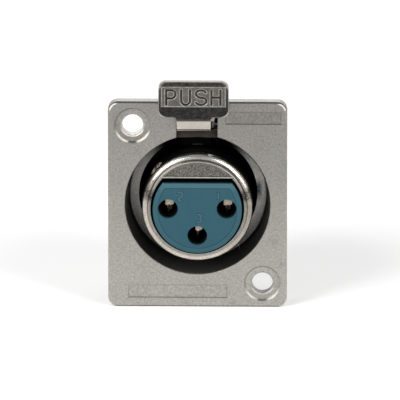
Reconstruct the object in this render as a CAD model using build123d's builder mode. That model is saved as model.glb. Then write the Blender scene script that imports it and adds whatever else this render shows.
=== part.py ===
from build123d import *
import math
import os

os.makedirs("parts", exist_ok=True)

# A panel socket for a round three-pin audio plug, upright as it stands in its panel.
# The front faces -Y and the top +Z. The origin is the middle of the screw pattern,
# on the flange's seat face. All sizes are in millimetres.

# Flange
flange_width = 26.2
flange_height = 31.2
flange_thickness = 1.8
flange_corner = 1.5
flange_edge = 0.2
flange_front = -flange_thickness

# Screw holes, a diagonal pair, each in a shallow dish
screw_pitch_x = 19.0
screw_pitch_z = 24.0
screw_hole_radius = 1.53
dish_radius = 2.72
dish_rim_depth = 0.36
dish_rim_width = 0.3
dish_floor_depth = 0.44
dish_floor_radius = 1.8
dish_hole_round = 0.1

# Bare name plates, sunk into the flange's face: (middle x, middle z, width, height)
plate_sink = 0.12
plates = [(8.15, 13.17, 8.1, 1.85), (-2.9, -13.25, 14.4, 1.9)]

# Housing behind the flange
housing_radius = flange_width / 2 - 1.65
housing_rear_radius = housing_radius - 1.1
housing_length = 18.0
housing_edge = 0.45

# Well around the nose
well_mouth_radius = housing_radius - 0.85
well_base_radius = housing_radius - 1.27
well_depth = 6.1
well_corner = 0.35
well_rim = 0.2
well_floor = flange_front + well_depth
groove_depth = 0.7
groove_floor = well_floor + groove_depth

# Nose that the plug's sleeve slides over
nose_radius = well_base_radius - 2.08
nose_root_fillet = 0.2
nose_proud = 2.3
nose_bore_radius = nose_radius - 1.25
nose_front = flange_front - nose_proud
lip_round = 0.74
lip_step = 0.45
ring_outer_radius = nose_radius - 0.85
ring_inner_radius = nose_radius - 1.05
ring_edge = 0.05
groove_radius = nose_radius + 0.55

# Key in the bore: the bore's top is filled above a level chord
key_chord = nose_bore_radius - 2.27
key_recess = 0.1

# Rear bore, wider, with the same key higher up
rear_bore_radius = nose_bore_radius + 1.55
rear_key_chord = key_chord + 1.82
rear_bore_start = 7.0
rear_mouth_chamfer = 0.35

# Rubber insert
insert_clearance = 0.32
insert_drop = 0.2
key_clearance = 0.68
insert_flange_length = 3.4
insert_bevel_width = 0.8
insert_bevel_depth = 0.12
insert_front = nose_front
insert_rear = rear_bore_start + insert_flange_length

# Contacts
contact_places = {"1": (4.28, 0.0), "2": (-4.28, 0.0), "3": (0.0, -4.06)}
contact_radius = 1.6
contact_pin_radius = 1.22
contact_bore_depth = 11.5
contact_bore_cone = 0.7
contact_clearance = 0.03
contact_recess = 1.3
entry_radius = 1.45
contact_mouth = 0.12
slit_width = 0.32
slit_length = 6.5
collar_radius = 2.05
collar_length = 0.7
cup_radius = 1.25
cup_bore_radius = 0.85
cup_length = 4.2
cup_bore_depth = 3.4
cup_opening = 2.6

# Insert screw, in the side of the nose
screw_angle = 139.0
screw_y = -0.95
screw_radius = 1.05
screw_sink = 0.03
screw_thread_length = 1.3
screw_point_radius = 0.65
screw_point_clearance = 0.08
screw_point_end = nose_bore_radius - 1.12
screw_slot_width = 0.36
screw_slot_depth = 0.5

# Latch channel through the flange's top and along the housing
arm_width = 5.3
channel_width = arm_width + 0.75
channel_centre = -0.08
channel_floor = nose_radius + 0.5
channel_deep_start = 4.55
channel_deep_floor = nose_radius - 0.2
channel_end = 14.5
bridge_top = housing_radius - 0.3
bridge_depth = 0.6
bridge_recess = 0.7
bridge_under = well_base_radius - 0.14

# Latch lever: arm, stem, push tab and hook
pivot_y = 5.85
pivot_z = housing_radius - 2.05
pin_radius = 0.75
pin_clearance = 0.05
pin_inset = 0.1
pin_chamfer = 0.12
boss_radius = 1.3
arm_centre = -0.3
arm_under = well_base_radius - 0.43
arm_top = housing_radius
bridge_gap = 0.1
joggle_gap = 0.2
shoulder_rise = 0.85
tail_end = 13.6
tail_under = housing_radius - 2.0
tail_top = housing_radius - 1.1
stem_centre = -0.525
stem_width = 4.93
stem_front = -4.8
stem_thickness = 1.25
stem_depth = 1.1
neck_rise = 1.0
stem_under = 12.13
stem_round = 0.36
hook_width = 4.4
hook_tip = nose_radius + 0.4
hook_length = 1.85
hook_ramp = 0.6
hook_round = 0.14
tab_width = 10.25
tab_bottom = 14.1
tab_top = 19.61
tab_back = -4.3
tab_front = -6.0
tab_upper_corner = 1.1
tab_lower_corner = 1.55
tab_neck_fillet = 0.5
tab_face_width = tab_width - 0.78
tab_face_bottom = 16.03
tab_face_top = 19.155
tab_side_bevel = 0.8
tab_upper_bevel = 0.8
tab_lower_bevel = 1.2

# Latch spring, in a pocket under the tail
spring_y = 11.6
spring_radius = 1.1
spring_wire_radius = 0.13
spring_turns = 3.5
spring_gap = 0.02
pocket_radius = 1.5
pocket_floor = nose_radius - 0.85

# Earth tag, pressed into the housing's rear rim
tag_angle = 222.0
tag_radius = housing_rear_radius - 0.95
tag_width = 2.4
tag_thickness = 0.5
tag_seat = 3.0
tag_proud = 4.2
tag_eye_radius = 0.6

overshoot = 1.0


def across(y):
    """The upright plane at y, drawn as seen from the front."""
    return Plane.XZ.offset(-y)


def keyed_disc(y, radius, chord, drop=0):
    """A disc on the upright plane at y, its middle dropped, its top cut level at the chord."""
    with BuildSketch(across(y)) as disc:
        with Locations((0, -drop)):
            Circle(radius)
        with Locations((0, chord)):
            Rectangle(2 * radius, radius, align=(Align.CENTER, Align.MIN), mode=Mode.SUBTRACT)
    return disc.sketch


def side_face(outline, left):
    """A closed side outline of (y, z) points on the plane at x = left."""
    with BuildSketch(Plane.YZ.offset(left)) as side:
        with BuildLine():
            Polyline(*outline, close=True)
        make_face()
    return side.sketch


def radial_plane(angle, y):
    """The plane at y through the axis whose normal points out at the angle."""
    turn = math.radians(angle)
    return Plane(origin=(0, y, 0), x_dir=(0, 1, 0), z_dir=(math.cos(turn), 0, math.sin(turn)))


def housing_radius_at(y):
    """The tapered housing's radius at y."""
    return housing_radius + (housing_rear_radius - housing_radius) * y / housing_length


# Shell, one casting: flange, well, nose and housing
with BuildPart() as shell:
    with BuildSketch(Plane.XZ):
        RectangleRounded(flange_width, flange_height, flange_corner)
    extrude(amount=flange_thickness)
    fillet(shell.faces().sort_by(Axis.Y)[0].edges(), flange_edge)

    # Housing, tapered to the rear
    with BuildSketch(Plane.XY):
        with BuildLine():
            Polyline((0, 0), (housing_radius, 0), (housing_rear_radius, housing_length),
                     (0, housing_length), close=True)
        make_face()
    revolve(axis=Axis.Y)
    fillet(shell.edges().sort_by(Axis.Y)[-1], housing_edge)

    # Well, with a ledge for its floor and a deeper groove round the nose
    with BuildSketch(Plane.XY) as well_profile:
        with BuildLine():
            Polyline((0, flange_front), (well_mouth_radius, flange_front),
                     (well_base_radius, well_floor), (groove_radius, well_floor),
                     (groove_radius, groove_floor), (0, groove_floor), close=True)
        make_face()
        fillet(well_profile.vertices().sort_by_distance((well_base_radius, well_floor))[0], well_corner)
    revolve(axis=Axis.Y, mode=Mode.SUBTRACT)
    circles = shell.edges().filter_by(GeomType.CIRCLE)
    fillet(circles.sort_by_distance((well_mouth_radius, flange_front, 0))[0], well_rim)

    # Nose, with a round lip a step behind its turned face
    lip_front = nose_front + lip_step
    lip_inner = nose_radius - lip_round
    with BuildSketch(Plane.XY):
        with BuildLine():
            CenterArc((lip_inner, lip_front + lip_round), lip_round, 270, 90)
            Polyline((nose_radius, lip_front + lip_round), (nose_radius, groove_floor), (0, groove_floor),
                     (0, nose_front), (ring_outer_radius - ring_edge, nose_front),
                     (ring_outer_radius, nose_front + ring_edge), (lip_inner, lip_front))
        make_face()
    revolve(axis=Axis.Y)
    nose_root = shell.edges().filter_by(GeomType.CIRCLE).sort_by_distance((nose_radius, groove_floor, 0))[0]
    fillet(nose_root, nose_root_fillet)

    # Bores for the insert, keyed by a chord at the top
    with BuildSketch(across(nose_front)):
        Circle(ring_inner_radius)
    extrude(amount=-key_recess, mode=Mode.SUBTRACT)
    extrude(keyed_disc(nose_front, nose_bore_radius, key_chord), amount=nose_front - housing_length,
            mode=Mode.SUBTRACT)
    extrude(keyed_disc(rear_bore_start, rear_bore_radius, rear_key_chord),
            amount=rear_bore_start - housing_length, mode=Mode.SUBTRACT)
    rear_mouth = shell.faces().sort_by(Axis.Y)[-1].inner_wires()[0]
    chamfer(rear_mouth.edges(), rear_mouth_chamfer)

    # Latch channel, open upwards, behind a thin bridge over the well's mouth
    bridge_front = flange_front + bridge_recess
    bridge_back = bridge_front + bridge_depth
    channel_top = flange_height / 2 + overshoot
    channel_side = side_face([(flange_front - overshoot, channel_floor), (channel_deep_start, channel_floor),
                              (channel_deep_start, channel_deep_floor), (channel_end, channel_deep_floor),
                              (channel_end, channel_top), (flange_front - overshoot, channel_top)],
                             channel_centre - channel_width / 2)
    extrude(channel_side, amount=channel_width, mode=Mode.SUBTRACT)
    with BuildSketch(across(bridge_front)):
        with Locations((channel_centre, (bridge_under + bridge_top) / 2)):
            Rectangle(channel_width, bridge_top - bridge_under)
    extrude(amount=-bridge_depth)
    with BuildSketch(Plane.XY.offset(pocket_floor)):
        with Locations((arm_centre, spring_y)):
            Circle(pocket_radius)
    extrude(amount=channel_deep_floor - pocket_floor, mode=Mode.SUBTRACT)

    # Cross hole for the latch pin
    with BuildSketch(Plane.YZ):
        with Locations((pivot_y, pivot_z)):
            Circle(pin_radius)
    extrude(amount=housing_radius, both=True, mode=Mode.SUBTRACT)

    # Threaded hole for the insert screw, and its way through the key's corner
    thread_end = nose_radius - screw_sink - screw_thread_length
    with BuildSketch(radial_plane(screw_angle, screw_y).offset(thread_end)):
        Circle(screw_radius)
    extrude(amount=screw_thread_length + screw_sink + overshoot / 2, mode=Mode.SUBTRACT)
    with BuildSketch(radial_plane(screw_angle, screw_y).offset(screw_point_end)):
        Circle(screw_point_radius + screw_point_clearance)
    extrude(amount=nose_radius - screw_point_end, mode=Mode.SUBTRACT)

    # Slot for the earth tag
    tag_slot = radial_plane(tag_angle, housing_length - tag_seat).offset(tag_radius - tag_thickness / 2)
    with BuildSketch(tag_slot):
        Rectangle(tag_seat + overshoot, tag_width, align=(Align.MIN, Align.CENTER))
    extrude(amount=tag_thickness, mode=Mode.SUBTRACT)

    # Screw holes in their dishes
    for side in (-1, 1):
        hole_axis = Plane(origin=(side * screw_pitch_x / 2, flange_front, -side * screw_pitch_z / 2))
        with BuildSketch(hole_axis):
            with BuildLine():
                Polyline((0, 0), (dish_radius, 0), (dish_radius - dish_rim_width, dish_rim_depth),
                         (dish_floor_radius, dish_floor_depth),
                         (screw_hole_radius, dish_floor_depth + dish_hole_round),
                         (screw_hole_radius, flange_thickness), (0, flange_thickness), close=True)
            make_face()
        revolve(axis=Axis(hole_axis.origin, (0, 1, 0)), mode=Mode.SUBTRACT)

    # Sunk name plates
    for middle_x, middle_z, width, height in plates:
        with BuildSketch(across(flange_front)):
            with Locations((middle_x, middle_z)):
                Rectangle(width, height)
        extrude(amount=-plate_sink, mode=Mode.SUBTRACT)
shell.part.label = "shell"
export_step(shell.part, "parts/shell.step")

# Insert, moulded rubber, keyed like the bore, with a flange that seats on the rear bore's step
with BuildPart() as insert:
    insert_radius = nose_bore_radius - insert_clearance
    insert_chord = key_chord - key_clearance
    bevel_back = insert_front + insert_bevel_depth
    insert_outline = keyed_disc(bevel_back, insert_radius, insert_chord, insert_drop)
    extrude(insert_outline, amount=bevel_back - insert_rear)
    loft([insert_outline,
          keyed_disc(insert_front, insert_radius - insert_bevel_width, insert_chord - insert_bevel_width,
                     insert_drop)])
    extrude(keyed_disc(rear_bore_start, rear_bore_radius - insert_clearance, rear_key_chord - key_clearance,
                       insert_drop),
            amount=rear_bore_start - insert_rear)

    # Contact passages, narrower where the pins enter
    for place_x, place_z in contact_places.values():
        with BuildSketch(across(insert_front)):
            with Locations((place_x, place_z)):
                Circle(entry_radius)
        extrude(amount=-contact_recess, mode=Mode.SUBTRACT)
        with BuildSketch(across(insert_front + contact_recess)):
            with Locations((place_x, place_z)):
                Circle(contact_radius + contact_clearance)
        extrude(amount=insert_front + contact_recess - insert_rear, mode=Mode.SUBTRACT)

    # Blind hole for the insert screw's point
    with BuildSketch(radial_plane(screw_angle, screw_y).offset(screw_point_end)):
        Circle(screw_point_radius + screw_point_clearance)
    extrude(amount=nose_radius - screw_point_end, mode=Mode.SUBTRACT)
insert.part.label = "socket_insert"
export_step(insert.part, "parts/socket_insert.step")

# Contacts, turned and bored, slit crosswise in front, with a collar and an open solder cup behind
contact_front = insert_front + contact_recess
collar_rear = insert_rear + collar_length
cup_end = collar_rear + cup_length
for number, (place_x, place_z) in contact_places.items():
    with BuildPart() as contact:
        own_axis = Axis((place_x, 0, place_z), (0, 1, 0))
        bore_end = contact_front + contact_bore_depth
        with BuildSketch(Plane(origin=(place_x, 0, place_z))):
            with BuildLine():
                Polyline((contact_pin_radius + contact_mouth, contact_front),
                         (contact_radius, contact_front), (contact_radius, insert_rear),
                         (collar_radius, insert_rear), (collar_radius, collar_rear),
                         (cup_radius, collar_rear), (cup_radius, cup_end),
                         (cup_bore_radius, cup_end), (cup_bore_radius, cup_end - cup_bore_depth),
                         (0, cup_end - cup_bore_depth), (0, bore_end + contact_bore_cone),
                         (contact_pin_radius, bore_end),
                         (contact_pin_radius, contact_front + contact_mouth),
                         close=True)
            make_face()
        revolve(axis=own_axis)
        with BuildSketch(across(contact_front)):
            with Locations((place_x, place_z)):
                Rectangle(2 * collar_radius, slit_width)
                Rectangle(slit_width, 2 * collar_radius)
        extrude(amount=-slit_length, mode=Mode.SUBTRACT)
        with BuildSketch(across(cup_end - cup_opening)):
            with Locations((place_x, place_z)):
                Rectangle(2 * collar_radius, collar_radius, align=(Align.CENTER, Align.MIN))
        extrude(amount=-cup_opening, mode=Mode.SUBTRACT)
    contact.part.label = "contact_" + number
    export_step(contact.part, "parts/contact_" + number + ".step")

# Insert screw, slotted, with a plain point that holds the insert
with BuildPart() as insert_screw:
    screw_outer = nose_radius - screw_sink
    screw_shoulder = screw_outer - screw_thread_length
    with BuildSketch(radial_plane(screw_angle, screw_y).offset(screw_shoulder)):
        Circle(screw_radius)
    extrude(amount=screw_thread_length)
    with BuildSketch(radial_plane(screw_angle, screw_y).offset(screw_point_end)):
        Circle(screw_point_radius)
    extrude(amount=screw_shoulder - screw_point_end)
    with BuildSketch(radial_plane(screw_angle, screw_y).offset(screw_outer - screw_slot_depth)):
        Rectangle(2 * screw_radius, screw_slot_width)
    extrude(amount=screw_slot_depth, mode=Mode.SUBTRACT)
insert_screw.part.label = "insert_screw"
export_step(insert_screw.part, "parts/insert_screw.step")

# Latch lever, one piece: push tab, stem, arm over the bridge, hook in the well, boss and tail
with BuildPart() as lever:
    joggle = bridge_back + joggle_gap
    over_bridge = bridge_top + bridge_gap
    stem_back = stem_front + stem_thickness
    stem_side = side_face([(stem_front, tab_face_bottom), (stem_front, stem_under),
                           (flange_front, over_bridge), (joggle, over_bridge), (joggle, arm_under),
                           (pivot_y - boss_radius, arm_under), (pivot_y - boss_radius, arm_top),
                           (0, arm_top), (joggle, arm_top + shoulder_rise),
                           (flange_front, arm_top + neck_rise), (stem_back, stem_under + stem_depth),
                           (stem_back, tab_face_bottom)], stem_centre - stem_width / 2)
    extrude(stem_side, amount=stem_width)
    lower_front = lever.edges().filter_by(Axis.X).sort_by_distance((stem_centre, stem_front, stem_under))[0]
    fillet(lower_front, stem_round)
    arm_side = side_face([(joggle, arm_under), (pivot_y, arm_under), (pivot_y, tail_under),
                          (tail_end, tail_under), (tail_end, tail_top), (pivot_y + boss_radius, tail_top),
                          (pivot_y - boss_radius, arm_top), (0, arm_top), (joggle, arm_top + shoulder_rise)],
                         arm_centre - arm_width / 2)
    extrude(arm_side, amount=arm_width)
    with BuildSketch(Plane.YZ.offset(arm_centre - arm_width / 2)):
        with Locations((pivot_y, pivot_z)):
            Circle(boss_radius)
    extrude(amount=arm_width)

    # Hook, sloped in front so that the plug lifts it
    hook_front = joggle + hook_ramp
    hook_back = joggle + hook_length
    hook_side = side_face([(joggle, arm_under), (hook_front, hook_tip), (hook_back, hook_tip),
                           (hook_back, arm_under)], arm_centre - hook_width / 2)
    extrude(hook_side, amount=hook_width)
    tip_edges = lever.edges().filter_by(Axis.X).group_by(Axis.Z)[0]
    fillet(tip_edges, hook_round)

    # Push tab: a plate with rounded corners, bevelled on its four sides to a flat face
    tab_middle = (tab_bottom + tab_top) / 2
    with BuildSketch(across(tab_back)) as tab_outline:
        with Locations((stem_centre, tab_middle)):
            Rectangle(tab_width, tab_top - tab_bottom)
        upper_corners = tab_outline.vertices().group_by(Axis.Z)[-1]
        lower_corners = tab_outline.vertices().group_by(Axis.Z)[0]
        fillet(upper_corners, tab_upper_corner)
        fillet(lower_corners, tab_lower_corner)
    extrude(amount=tab_back - tab_front)
    neck_middle_y = (stem_front + tab_back) / 2
    neck_edges = [lever.edges().filter_by(Axis.Y).sort_by_distance((stem_centre + side * stem_width / 2,
                                                                    neck_middle_y, tab_bottom))[0]
                  for side in (-1, 1)]
    fillet(neck_edges, tab_neck_fillet)
    side_bevel_width = (tab_width - tab_face_width) / 2
    bevels = [((stem_centre, tab_face_top), (0, 1), tab_top - tab_face_top, tab_upper_bevel),
              ((stem_centre, tab_face_bottom), (0, -1), tab_face_bottom - tab_bottom, tab_lower_bevel),
              ((stem_centre - tab_face_width / 2, tab_middle), (-1, 0), side_bevel_width, tab_side_bevel),
              ((stem_centre + tab_face_width / 2, tab_middle), (1, 0), side_bevel_width, tab_side_bevel)]
    for (edge_x, edge_z), (out_x, out_z), run, fall in bevels:
        slope = Plane(origin=(edge_x, tab_front, edge_z), z_dir=(fall * out_x, -run, fall * out_z))
        split(bisect_by=slope, keep=Keep.BOTTOM)

    # Hole for the pin
    with BuildSketch(Plane.YZ):
        with Locations((pivot_y, pivot_z)):
            Circle(pin_radius + pin_clearance)
    extrude(amount=tab_width, both=True, mode=Mode.SUBTRACT)
lever.part.label = "latch_lever"
export_step(lever.part, "parts/latch_lever.step")

# Latch pin, pressed through both ears
with BuildPart() as latch_pin:
    ear_reach = math.sqrt(housing_radius_at(pivot_y) ** 2 - (pivot_z + pin_radius) ** 2) - pin_inset
    with BuildSketch(Plane.YZ):
        with Locations((pivot_y, pivot_z)):
            Circle(pin_radius)
    extrude(amount=ear_reach, both=True)
    chamfer(latch_pin.edges().filter_by(GeomType.CIRCLE), pin_chamfer)
latch_pin.part.label = "latch_pivot_pin"
export_step(latch_pin.part, "parts/latch_pivot_pin.step")

# Latch spring, a coil that stands in its pocket and carries the tail
with BuildPart() as spring:
    coil_bottom = pocket_floor + spring_wire_radius
    coil_height = tail_under - spring_gap - spring_wire_radius - coil_bottom
    with BuildLine() as coil:
        Helix(coil_height / spring_turns, coil_height, spring_radius,
              center=(arm_centre, spring_y, coil_bottom))
    with BuildSketch(Plane(origin=coil.line @ 0, z_dir=coil.line % 0)):
        Circle(spring_wire_radius)
    sweep(path=coil.line)
spring.part.label = "latch_spring"
export_step(spring.part, "parts/latch_spring.step")

# Earth tag, a flat strip pressed into the rear rim, with an eye for the wire
with BuildPart() as tag:
    tag_plane = radial_plane(tag_angle, housing_length - tag_seat).offset(tag_radius - tag_thickness / 2)
    with BuildSketch(tag_plane):
        Rectangle(tag_seat + tag_proud - tag_width / 2, tag_width, align=(Align.MIN, Align.CENTER))
        with Locations((tag_seat + tag_proud - tag_width / 2, 0)):
            Circle(tag_width / 2)
            Circle(tag_eye_radius, mode=Mode.SUBTRACT)
    extrude(amount=tag_thickness)
tag.part.label = "earth_tag"
export_step(tag.part, "parts/earth_tag.step")
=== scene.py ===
import bpy
import math
import numpy as np
from mathutils import Matrix, Vector


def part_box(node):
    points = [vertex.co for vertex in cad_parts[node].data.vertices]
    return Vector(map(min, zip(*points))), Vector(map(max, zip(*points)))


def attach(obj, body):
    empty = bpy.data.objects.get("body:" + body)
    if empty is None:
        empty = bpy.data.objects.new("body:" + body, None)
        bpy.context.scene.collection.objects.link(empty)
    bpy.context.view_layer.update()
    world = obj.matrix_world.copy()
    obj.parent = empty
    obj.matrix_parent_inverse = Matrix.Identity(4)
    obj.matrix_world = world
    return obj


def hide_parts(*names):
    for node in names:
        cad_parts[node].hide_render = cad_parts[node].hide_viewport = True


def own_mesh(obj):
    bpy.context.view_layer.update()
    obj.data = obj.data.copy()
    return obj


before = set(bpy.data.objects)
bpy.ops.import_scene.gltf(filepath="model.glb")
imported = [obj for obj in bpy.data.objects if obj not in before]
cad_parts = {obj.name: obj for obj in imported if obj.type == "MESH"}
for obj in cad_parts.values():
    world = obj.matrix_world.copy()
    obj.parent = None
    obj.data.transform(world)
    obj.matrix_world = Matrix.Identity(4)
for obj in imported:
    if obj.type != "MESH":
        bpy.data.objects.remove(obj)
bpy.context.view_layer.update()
mm = 0.001


class Wire:
    # a socket of a node tree; arithmetic on it adds Math nodes
    def __init__(self, tree, socket):
        self.tree = tree
        self.socket = socket

    def maths(self, operation, *terms):
        node = self.tree.nodes.new("ShaderNodeMath")
        node.operation = operation
        for slot, term in zip(node.inputs, terms):
            feed(self.tree, slot, term)
        return Wire(self.tree, node.outputs[0])

    def __add__(self, other):
        return self.maths("ADD", self, other)

    def __radd__(self, other):
        return self.maths("ADD", other, self)

    def __sub__(self, other):
        return self.maths("SUBTRACT", self, other)

    def __rsub__(self, other):
        return self.maths("SUBTRACT", other, self)

    def __mul__(self, other):
        return self.maths("MULTIPLY", self, other)

    def __rmul__(self, other):
        return self.maths("MULTIPLY", other, self)

    def __truediv__(self, other):
        return self.maths("DIVIDE", self, other)

    def __rtruediv__(self, other):
        return self.maths("DIVIDE", other, self)

    def size(self):
        return self.maths("ABSOLUTE", self)

    def most(self, other):
        return self.maths("MAXIMUM", self, other)

    def least(self, other):
        return self.maths("MINIMUM", self, other)

    def __pow__(self, other):
        return self.maths("POWER", self, other)


def feed(tree, slot, value):
    # give a socket a link, a colour or a number
    if isinstance(value, Wire):
        tree.links.new(value.socket, slot)
    elif isinstance(value, (tuple, list)) and len(value) == 3 and len(slot.default_value) == 4:
        slot.default_value = (*value, 1.0)
    else:
        slot.default_value = value


class Finish:
    # one material or world; node() makes any node: its type, its settings first, then its inputs
    def __init__(self, name, world=False):
        self.data = bpy.data.worlds.new(name) if world else bpy.data.materials.new(name)
        self.data.use_nodes = True
        self.tree = self.data.node_tree
        self.tree.nodes.clear()
        self.world = world

    def node(self, kind, settings, inputs, output=0):
        node = self.tree.nodes.new("ShaderNode" + kind)
        for key, value in settings.items():
            setattr(node, key, value)
        for key, value in inputs.items():
            feed(self.tree, node.inputs[key], value)
        return Wire(self.tree, node.outputs[output])

    def place(self):
        # Object coordinates in millimetres, as a vector and as x, y, z
        raw = self.node("TexCoord", {}, {}, "Object")
        point = self.node("VectorMath", {"operation": "SCALE"}, {"Vector": raw, "Scale": 1000.0}, "Vector")
        parts = self.node("SeparateXYZ", {}, {"Vector": point}).socket.node
        return point, *(Wire(self.tree, parts.outputs[axis]) for axis in "XYZ")

    def step(self, value, low, high):
        # 0 below low, 1 above high, smooth between; low may be the larger
        return self.node("MapRange", {"interpolation_type": "SMOOTHSTEP"},
                         {"Value": value, "From Min": low, "From Max": high}, "Result")

    def band(self, value, middle, outer, inner):
        # 1 within inner of middle, 0 beyond outer
        return self.step((value - middle).size(), outer, inner)

    def noise(self, point, scale, detail, rough):
        inputs = {"Vector": point, "Scale": scale, "Detail": detail, "Roughness": rough}
        return self.node("TexNoise", {}, inputs, "Fac")

    def mix(self, mask, first, second):
        node = self.tree.nodes.new("ShaderNodeMix")
        node.data_type = "RGBA"
        feed(self.tree, node.inputs[0], mask)
        feed(self.tree, node.inputs[6], first)
        feed(self.tree, node.inputs[7], second)
        return Wire(self.tree, node.outputs[2])

    def shade(self, factor, colour):
        # a colour times a number
        return self.node("VectorMath", {"operation": "SCALE"}, {"Vector": colour, "Scale": factor}, "Vector")

    def bump(self, height, distance, strength):
        return self.node("Bump", {}, {"Height": height, "Distance": distance, "Strength": strength}, "Normal")

    def darken(self, factor, shader, colour):
        # a matt dark surface in place of shader where factor is 1
        dark = self.node("BsdfDiffuse", {}, {"Color": colour}, "BSDF")
        return self.node("MixShader", {}, {0: factor, 1: shader, 2: dark}, 0)

    def finish(self, shader):
        out = self.tree.nodes.new("ShaderNodeOutput" + ("World" if self.world else "Material"))
        self.tree.links.new(shader.socket, out.inputs["Surface"])
        return self.data


def dress(node, material):
    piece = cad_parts[node]
    if not piece.material_slots:
        piece.data.materials.append(material)
    for slot in piece.material_slots:
        slot.material = material


shellLook = {
    "flange": (0.300, 0.292, 0.268),
    "lip": (0.39, 0.355, 0.315),
    "ring": (0.27, 0.258, 0.235),
    "key": (0.150, 0.143, 0.130),
    # keyEdge: a painted highlight colour for lines along the key and round the ring
    "keyEdge": (0.44, 0.425, 0.39),
    # the well's wall is painted dark as painted shade
    "wall": (0.050, 0.049, 0.044),
    "ledge": (0.26, 0.255, 0.235),
    # black stands for painted deep shade
    "black": (0.003, 0.003, 0.003),
    # painted shade in the latch's channel
    "channelShade": (0.024, 0.018, 0.011),
    "tealPatch": (0.008, 0.052, 0.066),
    "shine": (0.90, 0.81, 0.74),
    # colour of the painted light patch round the insert screw
    "wearAndLight": (0.98, 0.84, 0.70),
    # noises: scale to the millimetre, detail, roughness
    "noises": {"fine": (3.3, 2.0, 0.6), "grain": (6.5, 4.0, 0.65), "coarse": (2.5, 2.0, 0.5),
               "speck": (5.2, 1.0, 0.5), "patches": (0.30, 3.0, 0.55)},
    # sizes of the casting in millimetres
    "noseRadius": 8.10, "ringOuter": 7.25, "ringInner": 7.05, "boreRadius": 6.85, "noseFront": -4.1,
    "grooveRadius": 8.65, "floor": 4.3, "wellBack": 5.5, "mouthRadius": 10.6, "keyChord": 4.58,
    "channel": -0.08, "channelHalf": 3.025, "channelLow": 7.8, "channelBack": 14.75,
    "bridgeBack": -0.35, "bridgeLow": 10.05,
    "halfWidth": 13.1, "halfHeight": 15.6, "corner": 1.5, "dishRim": 2.58, "hole": 1.53, "bead": 1.74,
    # the insert screw: the way it points, x and z, then its middle y and the reach of the painted light patch
    # round it
    "screw": (-0.7547, 0.6561, -0.95, 1.30),
    # painted lines along the key's lower edge, a highlight and a band of shade: height above the chord, outer
    # and inner half width
    "keyLine": (0.20, 0.11, 0.05), "keyShade": (0.38, 0.12, 0.05),
    # screw holes in their dishes: middle x, middle z, painted brightness of the hole's wall and of the glints
    "dishes": [(-9.5, 12.0, 0.60, 0.9), (9.5, -12.0, 0.16, 0.40)],
    # bare plates: middle x, middle z, half width, half height, tone
    "plates": [(8.15, 13.17, 4.05, 0.925, 0.88), (-2.9, -13.25, 7.2, 0.95, 0.97)],
    # soft marks on the face: x, z, radius, strength
    "marks": [(12.35, -9.0, 0.75, 0.16), (11.2, -5.6, 0.9, 0.10), (5.3, -14.9, 0.8, 0.14),
              (-1.6, -15.0, 1.3, 0.07), (-8.6, 8.0, 0.9, 0.06), (-11.2, -2.0, 1.6, 0.04),
              (9.0, 9.0, 2.2, 0.04), (12.4, 6.0, 1.2, 0.06)],
    # thin scratches: middle x, middle z, turn in degrees, half length, half width, gain
    "scratches": [(-9.9, -11.4, 62, 1.1, 0.035, 0.16), (-7.9, 9.3, -35, 0.8, 0.03, 0.14),
                  (10.9, 1.6, 75, 1.3, 0.03, 0.12), (3.4, -12.1, 18, 1.2, 0.03, 0.12)],
    "wallScratch": (6.0, -8.15, -62, 0.5, 0.07, 1.0),
}


def spot(f, x, z, mark):
    # a soft round mark: full strength at its middle, 0 at its radius
    cx, cz, size, strength = mark
    away = ((x - cx) ** 2.0 + (z - cz) ** 2.0) ** 0.5
    return f.step(away, size, size * 0.15) * strength


def scratch(f, x, z, line):
    # a straight thin mark that fades at its ends
    cx, cz, turn, half, width, gain = line
    c, s = math.cos(math.radians(turn)), math.sin(math.radians(turn))
    along = (x - cx) * c + (z - cz) * s
    across = (z - cz) * c - (x - cx) * s
    return f.band(along, 0, half, half * 0.4) * f.band(across, 0, width * 1.8, width * 0.4) * gain


def shellMasks(f, look, x, y, z, radius):
    # how far a point belongs to each place of the casting, from 0 to 1
    front, chord, floor = look["noseFront"], look["keyChord"], look["floor"]
    outside = f.step(radius, look["noseRadius"] + 0.02, look["noseRadius"] + 0.06)
    shallow = f.step(y, look["wellBack"], look["wellBack"] - 0.3)
    nose = (1 - outside) * shallow
    lip = nose * f.step(radius, look["ringOuter"] + 0.02, look["ringOuter"] + 0.07)
    noseBack = nose * f.step(y, front + 1.15, front + 2.05)
    key = f.step(radius, look["ringInner"] + 0.01, look["ringInner"] - 0.03)
    key = key * f.step(z, chord - 0.02, chord + 0.02) * f.step(y, front + 0.35, front + 0.15)
    bore = f.step(radius, look["boreRadius"] + 0.05, look["boreRadius"])
    bore = bore * f.step(y, front + 0.02, front + 0.2) * (1 - key)
    well = outside * f.step(radius, look["mouthRadius"] + 0.16, look["mouthRadius"] + 0.06)
    well = well * (1 - f.step(y, -1.45, -1.6)) * shallow
    ledge = well * f.step(y, floor - 0.45, floor - 0.2) * f.step(y, floor + 0.15, floor + 0.08)
    groove = well * f.step(radius, look["grooveRadius"] + 0.06, look["grooveRadius"])
    channel = f.band(x, look["channel"], look["channelHalf"] + 0.06, look["channelHalf"] + 0.04)
    channel = channel * f.step(y, -1.76, -1.66) * f.step(y, look["channelBack"], look["channelBack"] - 0.2)
    channel = channel * f.step(z, look["channelLow"] - 0.1, look["channelLow"])
    bridge = channel * f.step(y, look["bridgeBack"], look["bridgeBack"] - 0.1)
    bridge = bridge * f.step(radius, look["bridgeLow"], look["bridgeLow"] + 0.15)
    return {"nose": nose, "lip": lip, "noseBack": noseBack, "key": key, "bore": bore, "well": well,
            "ledge": ledge, "groove": groove, "channel": channel, "bridge": bridge}


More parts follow.
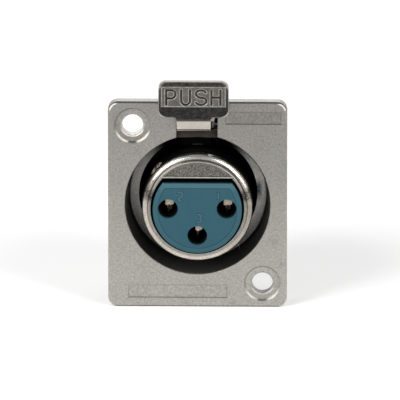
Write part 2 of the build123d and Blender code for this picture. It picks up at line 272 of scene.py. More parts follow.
def flangeTone(f, look, x, y, z, noise):
    # brightness of the satin metal: its grain, and on the flange the marks, plates and edges
    even = 0.42 + noise["fine"] * 0.96 + noise["grain"] * 0.10 + noise["patches"] * 0.14
    # painted shading: the face is lighter towards the bottom and a little darker at the upper right
    face = even * (0.84 + f.step(z, 15.0, -16.0) * 0.28)
    face = face * (1 - f.step(x, -2.0, 10.0) * f.step(z, -8.0, 6.0) * 0.07)
    for mark in look["marks"]:
        face = face - spot(f, x, z, mark)
    for line in look["scratches"]:
        face = face + scratch(f, x, z, line)
    for cx, cz, half, tall, level in look["plates"]:
        # reach: how far outside the plate's outline, in millimetres
        reach = ((x - cx).size() - half).most((z - cz).size() - tall)
        face = face * (1 - f.step(reach, 0.04, -0.06) * (1 - level + (0.5 - noise["coarse"]) * 0.35))
        face = face * (1 - f.step(reach.size(), 0.15, 0.04) * (0.06 + noise["fine"] * 0.24))
    tone = f.step(y, -1.3, -1.4) * (face - even) + even
    # painted shade along the flange's lower edge, a painted dark reflection along the front of its top edge
    # and a painted highlight on the top itself
    top = look["halfHeight"]
    foot = f.step(z, -top + 0.24, -top + 0.12)
    line = f.step(z, top - 0.28, top - 0.18) * f.step(y, -1.35, -1.55)
    crest = f.step(z, top - 0.1, top - 0.02) * (1 - line)
    return tone * (1 - foot * 0.72) * (1 - line * 0.36) * (1 + crest * 0.22)


def cornerShine(f, look, x, z):
    # painted highlights where the flange's upper corners catch the light, with a painted dark line outside
    # them
    aside = (x.size() - (look["halfWidth"] - look["corner"])).most(0)
    above = (z - (look["halfHeight"] - look["corner"])).most(0)
    away = (aside * aside + above * above) ** 0.5
    upper = f.step(above, 0.1, 0.4)
    shine = f.band(away, look["corner"] - 0.27, 0.15, 0.06) * f.step(aside, 0.05, 0.45) * upper
    return shine, f.band(away, look["corner"] - 0.07, 0.09, 0.04) * upper


def noseColour(f, look, x, y, z, radius, height, noise, on):
    # height is z over the radius: 1 at the top of the nose, -1 at its foot
    lip, nose, speck = on["lip"], on["nose"], noise["speck"]
    colour = f.mix(nose, look["flange"], look["ring"])
    colour = f.mix(lip, colour, look["lip"])
    # painted dark reflections, mottled, at both sides of the lip
    dull = f.band(height, 0.27, 0.17, 0.05)
    gain = 1 - nose * dull * (0.35 + 0.5 * f.step(speck, 0.35, 0.6))
    # painted light and shade: the lip is lighter at the top and towards its outer edge, dimmer low at the
    # right, and the nose is lighter at its foot
    outer = lip * f.step(radius, 7.50, 7.72)
    gain = gain * (1 + lip * f.step(height, 0.84, 0.96) * (0.5 + f.step(speck, 0.3, 0.6)) * 1.1)
    gain = gain * (1 + lip * f.step(x, -2.0, -4.0) * f.step(height, 0.5, 0.7) * 0.9)
    gain = gain * (1 + outer * f.step(x, 1.5, 3.5) * f.step(height, 0.25, 0.45) * 1.5)
    gain = gain * (1 + outer * f.step(height, 0.86, 0.95) * 0.9)
    dim = f.step(x, 3.0, 7.0) * f.step(height, 0.3, 0.0) * (0.18 + f.step(height, -0.6, -0.3) * 0.14)
    gain = gain * (1 - lip * dim) * (1 + nose * f.step(height, -0.75, -0.95) * 0.16)
    # painted shade in the dark trough between the lip and the ring
    trough = look["ringOuter"] + 0.06 + f.step(height, 0.3, 0.8) * 0.10
    trough = nose * f.step((radius - trough).size(), 0.12, 0.06) * (1 - on["noseBack"])
    gain = gain * (1 - trough * (0.12 + 0.30 * f.step(height, -0.9, 0.0) + 0.35 * f.step(height, 0.1, 0.6)))
    colour = f.shade(gain, colour)
    # painted shade: the nose's side behind its lip and the bore's wall are black
    for dark in ("noseBack", "bore"):
        colour = f.mix(on[dark], colour, look["black"])
    # the key's grainy front, with a painted band of shade above its lower edge and painted highlights along
    # that edge and round the ring
    above, width, core = look["keyShade"]
    shade = 1 - on["key"] * f.band(z, look["keyChord"] + above, width, core) * 0.5
    rough = speck * 2.6 + noise["coarse"] * 0.3 - 0.45
    colour = f.mix(on["key"], colour, f.shade(rough * shade, look["key"]))
    above, width, core = look["keyLine"]
    line = on["key"] * f.band(z, look["keyChord"] + above, width, core)
    rim = nose * f.band(radius, look["ringInner"] + 0.15, 0.11, 0.06) * f.step(height, 0.35, 0.62)
    rim = rim * f.step(y, look["noseFront"] + 0.1, look["noseFront"] + 0.03)
    colour = f.mix(line.most(rim * 0.8), colour, look["keyEdge"])
    # painted shade: black along the foot of the key
    foot = on["key"] * f.step(z, look["keyChord"] + 0.11, look["keyChord"] + 0.06)
    return f.mix(foot * 0.9, colour, look["black"])


def litPatchMask(f, look, x, y, z, radius, noise):
    # a painted light patch on the side of the nose, round the insert screw
    sx, sz, sy, size = look["screw"]
    along = z * sx - x * sz
    away = (along * along + (y - sy) ** 2.0) ** 0.5
    side = look["noseRadius"]
    wearAndLight = f.step(away, size, size - 0.2) * f.step(x * sx + z * sz, side - 0.2, side - 0.1)
    return wearAndLight * (1 - f.step(radius, side + 0.1, side + 0.2)) * f.step(noise["fine"], 0.44, 0.52)


def wellColour(f, look, x, y, radius, height, on, colour):
    # painted light and shade on the wall and the ledge by height and side
    light = 0.9 + f.step(y, 3.5, -0.9) * f.step(height, 0.5, -0.2) * 0.9
    light = light * (1 - f.step(height, -0.5, -0.9) * 0.35)
    colour = f.mix(on["well"], colour, f.shade(light, look["wall"]))
    light = f.step(height, -0.80, 0.40) * 1.08 + 0.54
    light = light * (0.68 + f.step(x, -9.0, 9.0) * (1 - f.step(height, 0.1, 0.65) * 0.70) * 0.46)
    light = light * (1.16 - 0.36 * f.step(radius, look["grooveRadius"], 10.0))
    light = light * (1 - f.step(height, 0.50, 0.88))
    return f.mix(on["ledge"], colour, f.shade(light, look["ledge"]))


def shellFinish(look):
    f = Finish("satinNickel")
    point, x, y, z = f.place()
    radius = (x * x + z * z) ** 0.5
    height = z / radius.most(0.01)
    noise = {name: f.noise(point, *values) for name, values in look["noises"].items()}
    on = shellMasks(f, look, x, y, z, radius)
    wearAndLight = litPatchMask(f, look, x, y, z, radius, noise)
    shine, shadow = cornerShine(f, look, x, z)
    tone = flangeTone(f, look, x, y, z, noise) * (1 - shadow * 0.5)
    colour = noseColour(f, look, x, y, z, radius, height, noise, on)
    colour = f.mix(wearAndLight, colour, look["wearAndLight"])
    colour = wellColour(f, look, x, y, radius, height, on, colour)
    # a teal patch on the ledge at the right
    tealPatch = on["ledge"] * f.step(x, 7.6, 8.3) * f.step(x, 9.6, 8.8) * f.band(z, 0.5, 1.9, 0.5)
    colour = f.mix(tealPatch * (0.35 + f.step(noise["coarse"], 0.30, 0.60) * 0.6), colour, look["tealPatch"])
    # a scratch at the well's lower right
    mark = scratch(f, x, z, look["wallScratch"]) * on["well"] * f.step(y, 3.0, 3.6)
    colour = f.mix(mark, colour, look["lip"])
    # painted shade: black in the groove round the nose's root
    colour = f.mix(on["groove"], colour, look["black"])
    # painted shade in the latch's channel, darker to the right
    colour = f.mix(on["channel"], colour, f.shade(1.25 - f.step(x, -2.5, 3.0) * 0.5, look["channelShade"]))
    colour = f.mix(shine, colour, look["shine"])
    metal = 1 - shine * 0.8 - on["channel"] * 0.9 - wearAndLight * 0.85 - on["well"] * (1 - on["ledge"]) * 0.55
    # the dishes round the screw holes, with painted shade on their rims, painted glints and highlights low on
    # them and each hole's wall painted to its own brightness: side and up say where round the hole a point
    # lies
    for cx, cz, level, gleam in look["dishes"]:
        dx, dz = x - cx, z - cz
        away = (dx * dx + dz * dz) ** 0.5
        side, up = dx.size() / away.most(0.01), dz / away.most(0.01)
        rim = f.band(away, look["dishRim"], 0.17, 0.10)
        ring = f.shade(0.88 - f.step(up, -0.85, -0.97) * 0.6, look["flange"])
        colour = f.mix(rim * (0.85 - f.step(up, -0.2, 0.4) * 0.45), colour, ring)
        glint = rim * f.step(up, -0.20, -0.55) * f.step(side, 0.14, 0.36) * gleam
        colour = f.mix(glint, colour, look["shine"])
        wall = f.step(away, look["hole"] + 0.05, look["hole"] + 0.02)
        colour = f.mix(wall, colour, (level, level * 0.98, level * 0.92))
        bead = f.band(away, look["bead"], 0.12, 0.05) * f.step(up, -0.25, -0.6)
        colour = f.mix(bead * 0.75 * gleam, colour, look["shine"])
        metal = metal - rim * 0.7 - wall * 0.8 - bead * 0.6
    # places in deep shadow are painted matt black and give no reflection
    dark = (on["noseBack"] * (1 - wearAndLight)).most(on["groove"]).most(on["bore"])
    dark = dark.most(on["well"] * f.step(height, 0.7, 0.9) * (1 - on["bridge"]))
    rough = 0.40 + noise["grain"] * 0.10 - on["lip"] * (1 - dark) * 0.20
    rough = rough + on["key"] * 0.15 + on["channel"] * 0.4
    bumps = noise["fine"] * (1 - on["lip"] * 0.9) + noise["coarse"] * on["key"] * 1.6
    shader = f.node("BsdfPrincipled", {}, {
        "Base Color": f.shade(tone, colour), "Metallic": (metal - tealPatch * 0.8).most(0.0), "Roughness": rough,
        "Normal": f.bump(bumps, 0.00005, 0.7)}, "BSDF")
    return f.finish(f.darken((dark * 0.97).least(1.0), shader, look["black"]))


leverLook = {
    "face": (0.165, 0.158, 0.142),
    "bevel": (0.036, 0.035, 0.032),
    "stem": (0.47, 0.43, 0.385),
    "dark": (0.030, 0.024, 0.018),
    "body": (0.22, 0.205, 0.18),
    "edge": (0.46, 0.44, 0.40),
    "black": (0.003, 0.003, 0.003),
    "letter": (0.024, 0.022, 0.020), "raised": (0.37, 0.35, 0.31),
    # the tab's outline, the foot of its front face, and its back in depth
    "middle": -0.525, "half": 5.125, "low": 14.1, "high": 19.61, "corner": 1.4,
    "faceLow": 15.9, "back": -4.36,
    # the stem's slope: top, fold line, and where it ends in depth
    "stemTop": 13.72, "stemHalf": 2.475, "fold": 11.87, "stemBack": -2.9,
}


def leverFinish(look):
    f = Finish("latchNickel")
    point, x, y, z = f.place()
    aside = (x - look["middle"]).size()
    grain = f.noise(point, 5.0, 4.0, 0.6)
    mottle = f.noise(point, 1.6, 4.0, 0.65)
    speck = f.noise(point, 2.6, 3.0, 0.6)
    head = f.step(z, look["stemTop"] - 0.04, look["stemTop"] + 0.04)
    face = f.step(y, -5.95, -5.99) * f.step(z, look["faceLow"], look["faceLow"] + 0.13)
    stem = (1 - head) * f.step(y, look["stemBack"], look["stemBack"] - 0.3)
    # distance from the tab's rounded outline, below 0 inside it
    low, high, corner = look["low"], look["high"], look["corner"]
    qx = aside - (look["half"] - corner)
    qz = (z - (low + high) / 2).size() - ((high - low) / 2 - corner)
    reach = (qx.most(0) ** 2.0 + qz.most(0) ** 2.0) ** 0.5 + qx.most(qz).least(0) - corner
    # a painted highlight along the tab's outline
    rim = f.step(reach, -0.13, -0.03) * f.step(z, low, low + 0.1)
    # no bright rim where the neck leaves the tab
    rim = rim * (1 - f.step(aside, 2.75, 2.45) * f.step(z, low + 0.6, low + 0.3))
    # the head is dark and mottled; painted light makes its upper bevel lighter
    upper = f.step(z, high - 0.71, high - 0.51)
    bevel = f.shade((mottle * 2.4 + speck * 1.8 - 1.25).most(0.15) * (1 + upper * 2.0), look["bevel"])
    colour = f.mix(head * f.step(y, look["back"], look["back"] - 0.06), look["body"], bevel)
    colour = f.mix(rim * (0.85 - upper * 0.25), colour, look["edge"])
    colour = f.mix(face, colour, look["face"])
    # the sloped front of the stem, painted bright as a painted reflection, with painted shade at its top, at
    # its fold and below it
    fold = f.band(z, look["fold"], 0.14, 0.06) * 0.84
    below = f.step(z, look["fold"] - 0.07, look["fold"] - 0.15) * (0.45 + f.step(x, -1.5, 1.5) * 0.4)
    fold = fold.most(below).most(f.step(z, 13.2, 13.6) * 0.93)
    colour = f.mix(stem, colour, f.shade(1 - fold, look["stem"]))
    # the sides of the neck and the arm lie in the channel's dark
    beside = f.step(aside, look["stemHalf"], look["stemHalf"] + 0.015)
    beside = beside * f.step(z, look["stemTop"] + 0.3, look["stemTop"] + 0.2)
    inside = f.step(y, 9.5, 8.5)
    beside = beside.most(f.step(y, -1.6, -1.3) * inside) * inside
    glint = f.band(x, 2.18, 0.12, 0.05) * f.step(z, 12.7, 12.5) * f.step(y, 0.2, 0.0)
    colour = f.mix(beside, colour, look["dark"])
    colour = f.mix(glint * 0.7, colour, look["body"])
    # painted shade: the hook hangs in the dark well, with a painted faint highlight on its tip
    hook = f.step(y, -0.9, -0.6) * f.step(z, 11.3, 11.2) * f.step(y, 6.0, 5.0)
    tip = f.band(x, -0.05, 0.85, 0.7) * f.step(z, 8.78, 8.66) * f.step(y, 0.75, 0.55)
    colour = f.mix(hook, colour, f.shade(0.12 + tip * 2.0, look["dark"]))
    dull = (stem * (1 - beside) * 0.35).most(beside * 0.5).most(hook * 0.9)
    shader = f.node("BsdfPrincipled", {}, {
        "Base Color": f.shade(0.75 + grain * 0.5, colour), "Metallic": 1 - dull,
        "Roughness": 0.36 + head * 0.14 - stem * 0.10, "Normal": f.bump(grain, 0.00003, 0.5)}, "BSDF")
    return f.finish(f.darken(hook * (1 - tip * 0.8) * 0.95, shader, look["black"]))


def faceFinish(look):
    # the tab's lettered face: the attribute groove is 0 on the face, 1 in the letters, -1 on the raised edges
    f = Finish("letteredNickel")
    point = f.place()[0]
    groove = f.node("Attribute", {"attribute_name": "groove"}, {}, "Fac")
    grain = f.noise(point, 4.0, 4.0, 0.65)
    mottle = f.noise(point, 1.2, 3.0, 0.6)
    wearAndLight = f.step(f.noise(point, 2.2, 2.0, 0.5), 0.36, 0.62)
    colour = f.shade(0.04 + grain * 0.68 + mottle * 0.72, look["face"])
    colour = f.mix(f.step(groove, 0.1, 0.8) * (0.72 + wearAndLight * 0.28), colour, look["letter"])
    # a painted highlight on the raised edges
    colour = f.mix(f.step(groove, -0.15, -0.85) * (0.42 + wearAndLight * 0.58), colour, look["raised"])
    shader = f.node("BsdfPrincipled", {}, {
        "Base Color": colour, "Metallic": 1.0, "Roughness": 0.42,
        "Normal": f.bump(grain, 0.00003, 0.5)}, "BSDF")
    return f.finish(shader)


rubberLook = {
    # the insert's own blue, lighter blues for painted light on its bevel and top, darker ones for painted
    # shade
    "colour": (0.022, 0.078, 0.104), "bevel": (0.028, 0.089, 0.116), "top": (0.044, 0.116, 0.140),
    "line": (0.012, 0.046, 0.064), "dark": (0.003, 0.008, 0.010),
    # the insert's outline: a circle cut flat at the top, its middle below the bore's
    "radius": 6.53, "drop": 0.2, "chord": 3.90, "bevelWidth": 0.76, "front": -4.1,
}


def rubberFinish(look):
    f = Finish("blueRubber")
    point, x, y, z = f.place()
    speck = f.noise(point, 7.0, 3.0, 0.6)
    cloud = f.noise(point, 0.5, 3.0, 0.5)
    radius = (x * x + (z + look["drop"]) ** 2.0) ** 0.5
    # distance in from the keyed outline
    inward = (look["radius"] - radius).least(look["chord"] - z)
    # painted light: the bevel is lighter, more so on its upper part; painted shade: a dark line at the
    # bevel's inner edge, dark along the outline and dark on the sides behind the front
    bevel = f.step(inward, look["bevelWidth"] + 0.03, look["bevelWidth"] - 0.03)
    line = f.band(inward, look["bevelWidth"], 0.11, 0.03)
    edge = f.step(inward, 0.10, 0.02)
    inside = f.step(y, look["front"] + 0.16, look["front"] + 0.9)
    colour = f.mix(bevel, look["colour"], f.mix(f.step(z, 2.6, 3.2), look["bevel"], look["top"]))
    colour = f.mix((line * 0.8).most(edge * 0.9), colour, look["line"])
    colour = f.mix(inside, colour, look["dark"])
    colour = f.shade(0.82 + speck * 0.2 + cloud * 0.16, colour)
    shader = f.node("BsdfPrincipled", {}, {
        "Base Color": colour, "Roughness": 0.5 + speck * 0.1, "Specular IOR Level": 0.2,
        "Normal": f.bump(speck, 0.00002, 0.4)}, "BSDF")
    return f.finish(shader)


contactLook = {
    # dark is painted shade; the track's colour is painted light
    "metal": (0.45, 0.40, 0.31), "dark": (0.004, 0.004, 0.003), "wearAndLight": (0.75, 0.66, 0.54),
    "aside": 0.1, "far": 5.3, "glow": 0.42, "bar": 0.36,
    # middle x, middle z, half width of the painted glowing track, its near end, painted light on the bar in
    # front of it
    "places": {"1": (4.28, 0.0, 0.62, 2.0, 0.03), "2": (-4.28, 0.0, 0.62, 2.0, 0.03),
               "3": (0.0, -4.06, 0.50, 2.8, 0.0)},
}


def contactFinish(look, number, middle, low, half, near, bright):
    # the track where the pins slide glows as painted light deep in the bore
    f = Finish("contactMetal" + number)
    point, x, y, z = f.place()
    grain = f.noise(point, 5.0, 3.0, 0.6)
    front = f.step(y, 6.0, 4.0)
    under = f.step(z, low - 0.6, low - 0.7)
    track = f.band(x, middle + look["aside"], half + 0.05, half - 0.05) * under
    track = track * f.step(y, near - 0.15, near + 0.1) * f.step(y, look["far"] + 0.3, look["far"])
    bar = f.band(x, middle + look["bar"], 0.19, 0.10) * under * (1 - track)
    bar = bar * f.step(y, -0.6, 0.2) * f.step(y, 1.8, 1.5)
    # painted shade: the contact's front part, deep in the bore, is matt dark but for the glowing track and
    # bar
    colour = f.mix(front, look["metal"], look["dark"])
    colour = f.mix(track, colour, look["wearAndLight"])
    shader = f.node("BsdfPrincipled", {}, {
        "Base Color": colour, "Metallic": 1.0, "Roughness": 0.32 + grain * 0.12,
        "Emission Color": f.shade(track * look["glow"] + bar * bright, look["wearAndLight"]),
        "Emission Strength": 1.0, "Normal": f.bump(grain, 0.00002, 0.4)}, "BSDF")
    return f.finish(f.darken(front * (1 - track) * (1 - bar), shader, look["dark"]))


def plainMetal(name, colour, rough, metallic):
    f = Finish(name)
    point = f.place()[0]
    grain = f.noise(point, 5.0, 3.0, 0.6)
    shader = f.node("BsdfPrincipled", {}, {
        "Base Color": f.shade(0.85 + grain * 0.3, colour), "Metallic": metallic,
        "Roughness": rough + grain * 0.12, "Normal": f.bump(grain, 0.00002, 0.4)}, "BSDF")
    return f.finish(shader)


# plain metals: name, colour, roughness, metallic
plainLook = {
    # the pin is painted dark as painted shade, since it lies in the dark channel
    "pin": ("pinSteel", (0.045, 0.038, 0.030), 0.45, 0.8),
    "tag": ("tinnedTag", (0.66, 0.65, 0.61), 0.35, 1.0),
    "spring": ("springWire", (0.42, 0.42, 0.43), 0.3, 1.0),
}

screwLook = {"bright": (0.72, 0.61, 0.50), "dull": (0.030, 0.022, 0.015)}


def screwFinish(look):
    # a head with bright places on dull brass
    f = Finish("screwBrass")
    point = f.place()[0]
    wear = f.noise(point, 1.9, 3.0, 0.6)
    shader = f.node("BsdfPrincipled", {}, {
        "Base Color": f.mix(f.step(wear, 0.46, 0.53), look["bright"], look["dull"]), "Metallic": 0.4,
        "Roughness": 0.42, "Normal": f.bump(wear, 0.00006, 0.6)}, "BSDF")
    return f.finish(shader)


dress("shell", shellFinish(shellLook))
dress("latch_lever", leverFinish(leverLook))
dress("socket_insert", rubberFinish(rubberLook))
for number, place in contactLook["places"].items():
    dress("contact_" + number, contactFinish(contactLook, number, *place))
dress("insert_screw", screwFinish(screwLook))
dress("latch_pivot_pin", plainMetal(*plainLook["pin"]))
dress("earth_tag", plainMetal(*plainLook["tag"]))
print("materials done")


letterLook = {
    # the letters: foot and head in z, then each one's left and right
    "low": 16.39, "high": 18.59,
    "p": (-4.47, -3.13), "u": (-2.30, -1.02), "s": (-0.20, 1.36), "h": (2.10, 3.41),
    # half width of a stroke; rim and border: where the raised lines lie, and their width
    "groove": 0.12, "rim": (0.225, 0.055), "border": (0.09, 0.07),
    "base": 0.05, "depth": 0.045, "lift": 0.03,
    # the face, and the distance between its points
    "left": -5.25, "right": 4.20, "bottom": 16.04, "top": 19.145, "front": -6.0, "pitch": 0.035,
}


def bow(cx, cz, rx, rz, start, end, count=14):
    # points of an ellipse about (cx, cz), from start to end in degrees
    turn = np.radians(np.linspace(start, end, count))
    return np.stack([cx + rx * np.cos(turn), cz + rz * np.sin(turn)], 1)


def lineStrokes(look):
    # each stroke of the four letters as a row of points in x and z
    low, high = look["low"], look["high"]
    mid = (low + high) / 2
    tall = high - low
    pl, pr = look["p"]
    bowl = tall * 0.28
    strokes = [np.array([(pl, low), (pl, high), (pr - bowl, high)]),
               bow(pr - bowl, high - bowl, bowl, bowl, 90, -90),
               np.array([(pr - bowl, high - 2 * bowl), (pl, high - 2 * bowl)])]
    ul, ur = look["u"]
    half = (ur - ul) / 2
    strokes += [np.array([(ul, high), (ul, low + half)]), bow(ul + half, low + half, half, half, 180, 360),
                np.array([(ur, low + half), (ur, high)])]
    sl, sr = look["s"]
    cx = (sl + sr) / 2
    rx, rz = (sr - sl) / 2, tall / 4
    strokes += [bow(cx, high - rz, rx * 0.92, rz, 25, 270, 22), bow(cx, low + rz, rx, rz, 90, -155, 22)]
    hl, hr = look["h"]
    strokes += [np.array([(hl, low), (hl, high)]), np.array([(hr, low), (hr, high)]),
                np.array([(hl, mid + 0.02), (hr, mid + 0.02)])]
    return strokes


def nearest(x, z, strokes):
    # distance from every point (x, z) to the nearest straight piece of any stroke
    best = np.full(x.shape, 1e9)
    for stroke in strokes:
        for (ax, az), (bx, bz) in zip(stroke[:-1], stroke[1:]):
            dx, dz = bx - ax, bz - az
            along = np.clip(((x - ax) * dx + (z - az) * dz) / (dx * dx + dz * dz), 0, 1)
            best = np.minimum(best, np.hypot(x - ax - along * dx, z - az - along * dz))
    return best


def gridMesh(name, points, rows, columns, values, attribute):
    # rows by columns points joined as quads, with one value for each point as an attribute
    mesh = bpy.data.meshes.new(name)
    index = np.arange(rows * columns).reshape(rows, columns)
    quads = np.stack([index[:-1, :-1], index[:-1, 1:], index[1:, 1:], index[1:, :-1]], -1).reshape(-1, 4)
    mesh.vertices.add(rows * columns)
    mesh.vertices.foreach_set("co", points.reshape(-1))
    mesh.loops.add(quads.size)
    mesh.loops.foreach_set("vertex_index", quads.reshape(-1))
    mesh.polygons.add(len(quads))
    mesh.polygons.foreach_set("loop_start", np.arange(0, quads.size, 4))
    mesh.update(calc_edges=True)
    mesh.polygons.foreach_set("use_smooth", np.ones(len(quads), bool))
    mesh.attributes.new(attribute, "FLOAT", "POINT").data.foreach_set("value", values.reshape(-1))
    piece = bpy.data.objects.new(name, mesh)
    bpy.context.scene.collection.objects.link(piece)
    return piece


def tabFace(look):
    # height = base - depth * a smooth step inside the strokes + lift * bells along their rims and the border,
    # falling to 0 at the face's edges
    columns = int((look["right"] - look["left"]) / look["pitch"])
    rows = int((look["top"] - look["bottom"]) / look["pitch"])
    x, z = np.meshgrid(np.linspace(look["left"], look["right"], columns),
                       np.linspace(look["bottom"], look["top"], rows))
    away = nearest(x, z, lineStrokes(look))
    groove = np.clip((look["groove"] + 0.06 - away) / 0.08, 0, 1)
    groove = groove * groove * (3 - 2 * groove)
    rim = np.exp(-((away - look["rim"][0]) / look["rim"][1]) ** 2)
    border = np.minimum(np.minimum(x - look["left"], look["right"] - x),
                        np.minimum(z - look["bottom"], look["top"] - z))
    edge = np.exp(-((border - look["border"][0]) / look["border"][1]) ** 2)
    height = look["base"] - look["depth"] * groove + look["lift"] * np.maximum(rim, edge * 0.7)
    height = height * np.clip(border / 0.05, 0, 1) ** 0.5 - 0.01 * (border <= 0)
    points = np.stack([x, look["front"] - height, z], -1) * mm
    piece = gridMesh("tabFace", points, rows, columns, groove - np.maximum(rim, edge), "groove")
    piece.data.materials.append(faceFinish(leverLook))
    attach(piece, "latch")


tabFace(letterLook)
print("tab face done")


numberLook = {
    # half a number's height and width, half the ridge's width, its height and how far it is sunk
    "tall": 0.62, "half": 0.40, "line": 0.19, "rise": 0.07, "sink": 0.01, "front": -4.1,
    "places": {"2": (-2.55, 1.98), "1": (3.08, 1.98), "3": (0.18, -1.43)},
    "top": (0.050, 0.128, 0.156), "foot": (0.006, 0.034, 0.050),
}


def numberStrokes(number, cx, cz, look):
    # each stroke of one raised number as a row of points in x and z
    tall, half = look["tall"], look["half"]
    if number == "1":
        return [np.linspace((cx - half * 0.45, cz + tall * 0.62), (cx, cz + tall), 6),
                np.linspace((cx, cz + tall), (cx, cz - tall), 14)]
    if number == "2":
        crown = bow(cx, cz + tall - half, half, half, 165, -35, 18)
        slope = np.linspace(crown[-1], (cx - half, cz - tall), 12)[1:]
        foot = np.linspace((cx - half, cz - tall), (cx + half, cz - tall), 10)
        return [np.concatenate([crown, slope]), foot]
    lobe = tall / 2
    return [bow(cx, cz + lobe, half * 0.9, lobe, 150, -90, 20), bow(cx, cz - lobe, half, lobe, 90, -150, 20)]


def raisedNumber(number, place, look):
    # a half-round ridge along each stroke: height = rise * (1 - across squared), falling to 0 at both ends
    across = np.linspace(-1, 1, 7)
    for count, stroke in enumerate(numberStrokes(number, *place, look)):
        ahead = np.gradient(stroke, axis=0)
        ahead = ahead / np.hypot(ahead[:, :1], ahead[:, 1:])
        aside = np.stack([ahead[:, 1], -ahead[:, 0]], 1)
        run = np.concatenate([[0], np.cumsum(np.hypot(*np.diff(stroke, axis=0).T))])
        ends = np.sqrt(np.clip(np.minimum(run, run[-1] - run) / look["line"], 0, 1))
        ridge = (1 - across[None, :] ** 2) * ends[:, None]
        flat = stroke[:, None, :] + aside[:, None, :] * across[None, :, None] * look["line"]
        depth = look["front"] + look["sink"] - look["rise"] * ridge
        points = np.stack([flat[..., 0], depth, flat[..., 1]], -1) * mm
        name = "number" + number + "Stroke" + str(count + 1)
        piece = gridMesh(name, points, len(stroke), len(across), ridge, "ridge")
        piece.data.materials.append(numberRubber)
        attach(piece, "housing")


def numberFinish(look):
    # the attribute ridge is 1 along a stroke's crest and 0 at its foot; the crest is painted lighter and the
    # foot darker, as painted light and shade
    f = Finish("numberRubber")
    point = f.place()[0]
    speck = f.noise(point, 7.0, 3.0, 0.6)
    ridge = f.node("Attribute", {"attribute_name": "ridge"}, {}, "Fac")
    colour = f.mix(f.step(ridge, 0.55, 0.95), look["foot"], look["top"])
    shader = f.node("BsdfPrincipled", {}, {
        "Base Color": f.shade(0.85 + speck * 0.3, colour), "Roughness": 0.5 + speck * 0.1,
        "Specular IOR Level": 0.2, "Normal": f.bump(speck, 0.00002, 0.4)}, "BSDF")
    return f.finish(shader)


numberRubber = numberFinish(numberLook)
for number, place in numberLook["places"].items():
    raisedNumber(number, place, numberLook)
print("numbers done")


springLook = {"turns": 3.5, "steps": 34, "around": 12, "wire": 0.13, "keep": 0.5}


def coilSpring(look):
    # a wire round a helix: centre + radius * (cos t, sin t) rising evenly with t, and at each of its points
    # a circle of points square to it: wire * (cos s outward + sin s aside)
    low, high = (np.array(corner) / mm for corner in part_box("latch_spring"))
    wire, count, around = look["wire"], int(look["turns"] * look["steps"]) + 1, look["around"]
    radius = (high[1] - low[1]) / 2 - wire
    centre = np.array([(low[0] + high[0]) / 2, high[1] - wire - radius, low[2] + wire])
    turn = look["turns"] * 2 * math.pi
    rise = (high[2] - low[2] - 2 * wire) / turn
    t = np.linspace(0, turn, count)
    still = np.zeros(count)
    outward = np.stack([np.cos(t), np.sin(t), still], 1)
    line = centre + outward * radius + np.stack([still, still, t * rise], 1)
    ahead = np.stack([-np.sin(t) * radius, np.cos(t) * radius, still + rise], 1)
    aside = np.cross(ahead / np.linalg.norm(ahead, axis=1)[:, None], outward)
    s = np.linspace(0, 2 * math.pi, around, endpoint=False)[None, :, None]
    points = line[:, None] + wire * (np.cos(s) * outward[:, None] + np.sin(s) * aside[:, None])
    index = np.arange(count * around).reshape(count, around)
    turned = np.roll(index, -1, axis=1)
    quads = np.stack([index[:-1], turned[:-1], turned[1:], index[1:]], -1).reshape(-1, 4)
    caps = [index[0][::-1].tolist(), index[-1].tolist()]
    mesh = bpy.data.meshes.new("latchCoil")
    mesh.from_pydata((points.reshape(-1, 3) * mm).tolist(), [], quads.tolist() + caps)
    mesh.polygons.foreach_set("use_smooth", np.arange(len(quads) + 2) < len(quads))
    piece = bpy.data.objects.new("latchCoil", mesh)
    bpy.context.scene.collection.objects.link(piece)
    piece.data.materials.append(plainMetal(*plainLook["spring"]))
    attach(piece, "housing")
    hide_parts("latch_spring")
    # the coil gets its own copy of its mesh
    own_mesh(piece)


coilSpring(springLook)
print("spring done")


floorLook = {
    "colour": (0.80, 0.80, 0.80), "height": -15.6, "half": 3000.0,
    # light added for reflections, for the camera, and for the camera far away
    "glow": 0.52, "seen": 0.22, "farSeen": 0.75,
}


def makeFloor(look):
    mesh = bpy.data.meshes.new("floor")
    half, height = look["half"] * mm, look["height"] * mm
    corners = [(-half, -half, height), (half, -half, height), (half, half, height), (-half, half, height)]
    mesh.from_pydata(corners, [], [(0, 1, 2, 3)])
    floor = bpy.data.objects.new("floor", mesh)
    bpy.context.scene.collection.objects.link(floor)
    f = Finish("paleFloor")
    x, y = f.place()[1:3]
    ray = {kind: f.node("LightPath", {}, {}, "Is " + kind + " Ray")
           for kind in ("Glossy", "Transmission", "Camera")}
    # the metal sees less of the floor far in front of it
    mirrored = (ray["Glossy"] + ray["Transmission"]).least(1.0)
    glow = mirrored * look["glow"] * (1 - f.step(y, -48.0, -120.0) * 0.65)
    # the far floor stays white in a level view
    far = f.step((x * x + y * y) ** 0.5, 250.0, 800.0)
    glow = glow + ray["Camera"] * (look["seen"] + far * look["farSeen"])
    diffuse = f.node("BsdfDiffuse", {}, {"Color": look["colour"]}, "BSDF")
    glow = f.node("Emission", {}, {"Color": (1, 1, 1), "Strength": glow}, "Emission")
    shader = f.node("AddShader", {}, {0: diffuse, 1: glow}, 0)
    mesh.materials.append(f.finish(shader))


roomLook = {"level": 0.20, "low": 0.30, "back": 1.2}


def makeWorld(look):
    # an even room, lighter towards the horizon and most of all low behind the object; white to the camera
    w = Finish("softRoom", world=True)
    direction = w.node("TexCoord", {}, {}, "Generated")
    parts = w.node("SeparateXYZ", {}, {"Vector": direction}).socket.node
    y, z = Wire(w.tree, parts.outputs["Y"]), Wire(w.tree, parts.outputs["Z"])
    camera = w.node("LightPath", {}, {}, "Is Camera Ray")
    low = w.step(z, 0.50, 0.10)
    back = w.step(y, 0.1, 0.7)
    level = look["level"] + low * look["low"] + back * low * look["back"]
    level = level * (1 - camera) + camera
    shader = w.node("Background", {}, {"Color": (1, 1, 1), "Strength": level}, "Background")
    bpy.context.scene.world = w.finish(shader)


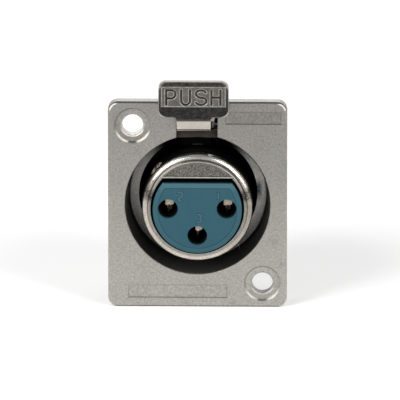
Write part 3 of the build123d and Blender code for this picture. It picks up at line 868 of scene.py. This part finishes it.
# soft boxes: azimuth and elevation in degrees, distance and size in metres, power in watts
lampLook = {
    "leftBox": (-50, 32, 0.6, (0.35, 0.35), 3.2),
    "rightBox": (52, 30, 0.6, (0.30, 0.35), 2.4),
    "backBox": (180, 35, 0.6, (0.5, 0.3), 1.2),
}


def makeLamp(name, azimuth, elevation, distance, size, power):
    # azimuth from the front, to the right positive, as seen by the camera
    lamp = bpy.data.lights.new(name, "AREA")
    lamp.shape = "RECTANGLE"
    lamp.size, lamp.size_y = size
    lamp.energy = power
    a, e = math.radians(azimuth), math.radians(elevation)
    place = Vector((math.sin(a) * math.cos(e), -math.cos(a) * math.cos(e), math.sin(e))) * distance
    thing = bpy.data.objects.new(name, lamp)
    thing.location = place
    thing.rotation_euler = (-place).to_track_quat("-Z", "Y").to_euler()
    bpy.context.scene.collection.objects.link(thing)


# angles in degrees, distance in metres; the frame's width at the origin and its shift in millimetres
cameraLook = {
    "azimuth": 1.0, "elevation": 16.5, "distance": 1.5, "width": 58.565, "aimRight": 0.331, "aimUp": 0.175,
}


def makeCamera(azimuth, elevation, distance, width, aimRight, aimUp):
    a, e = math.radians(azimuth), math.radians(elevation)
    ahead = Vector((-math.sin(a) * math.cos(e), math.cos(a) * math.cos(e), -math.sin(e)))
    right = Vector((math.cos(a), math.sin(a), 0))
    up = right.cross(ahead)
    lens = bpy.data.cameras.new("camera")
    lens.sensor_fit = "HORIZONTAL"
    lens.sensor_width = 36
    lens.lens = lens.sensor_width * distance / (width * mm)
    lens.clip_start = 0.01
    lens.clip_end = 20
    camera = bpy.data.objects.new("camera", lens)
    place = right * aimRight * mm + up * aimUp * mm - ahead * distance
    camera.matrix_world = Matrix.Translation(place) @ Matrix((right, up, -ahead)).transposed().to_4x4()
    bpy.context.scene.collection.objects.link(camera)
    bpy.context.scene.camera = camera


makeFloor(floorLook)
makeWorld(roomLook)
for name, values in lampLook.items():
    makeLamp(name, *values)
makeCamera(**cameraLook)
bpy.context.scene.view_settings.view_transform = "Standard"
print("stage done")
